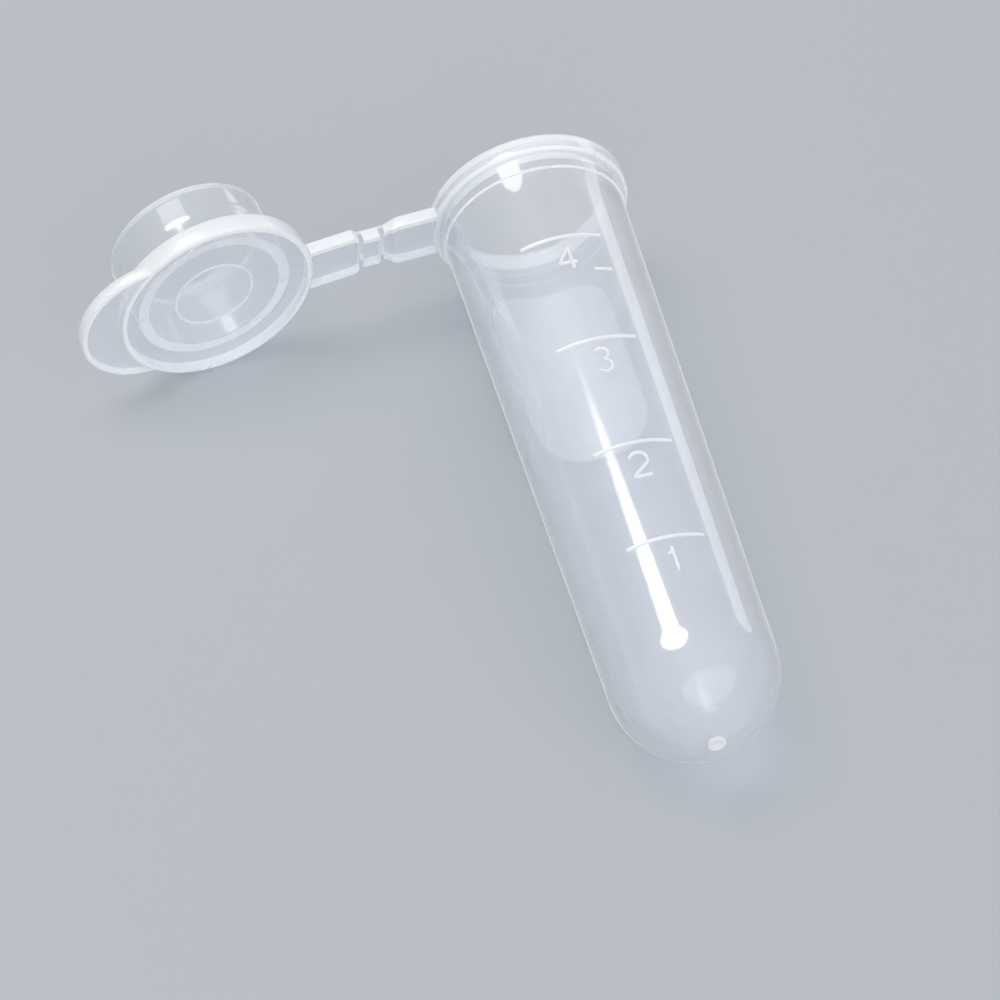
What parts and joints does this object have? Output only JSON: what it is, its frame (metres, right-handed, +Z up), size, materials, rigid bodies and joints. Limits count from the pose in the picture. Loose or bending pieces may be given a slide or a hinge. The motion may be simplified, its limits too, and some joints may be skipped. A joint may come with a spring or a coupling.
{
  "type": "snap-cap centrifuge tube",
  "caption": "Round-bottomed translucent snap-cap centrifuge tube, open on its side, graduated, with a plug lid on a folding strap.",
  "frame": {"origin": "on the ground, under the middle of the open tube's extent", "axes": "+Z up; the mouth points along +Y, raised by 1.6 degrees; the strap and the open lid lie toward -X"},
  "size_m": [0.0424, 0.0554, 0.0152],
  "materials": {
    "clear_polypropylene": "glossy translucent moulding",
    "raised_polypropylene": "glossy raised moulding",
    "hinge_polypropylene": "glossy, whitened by folding",
    "frosted_polypropylene": "frosted"
  },
  "bodies": {
    "tube": {"barrel": "clear_polypropylene", "mouth_flange": "clear_polypropylene", "base_strap": "clear_polypropylene", "graduation_lines": "raised_polypropylene", "graduation_numerals": "raised_polypropylene", "writing_panel": "frosted_polypropylene", "gate_mark": "raised_polypropylene", "hinge_web_tube": "hinge_polypropylene"},
    "middle_link": {"hinge_link": "clear_polypropylene", "hinge_web_lid": "hinge_polypropylene"},
    "lid": {"lid_plate": "clear_polypropylene", "sealing_plug": "clear_polypropylene", "thumb_tab": "clear_polypropylene", "lid_strap": "clear_polypropylene"}
  },
  "joints": [
    {"name": "tube_hinge", "type": "hinge", "parent": "tube", "child": "middle_link", "pos_m": [0.00237, 0.02306, 0.00767], "axis": [0, 0.0273, -0.9996], "range_deg": [-20, 94.2], "deforming": ["hinge_web_tube"]},
    {"name": "lid_hinge", "type": "hinge", "parent": "middle_link", "child": "lid", "pos_m": [0.00066, 0.02294, 0.00767], "axis": [0, 0.0273, -0.9996], "range_deg": [-20, 94.2], "deforming": ["hinge_web_lid"]}
  ]
}
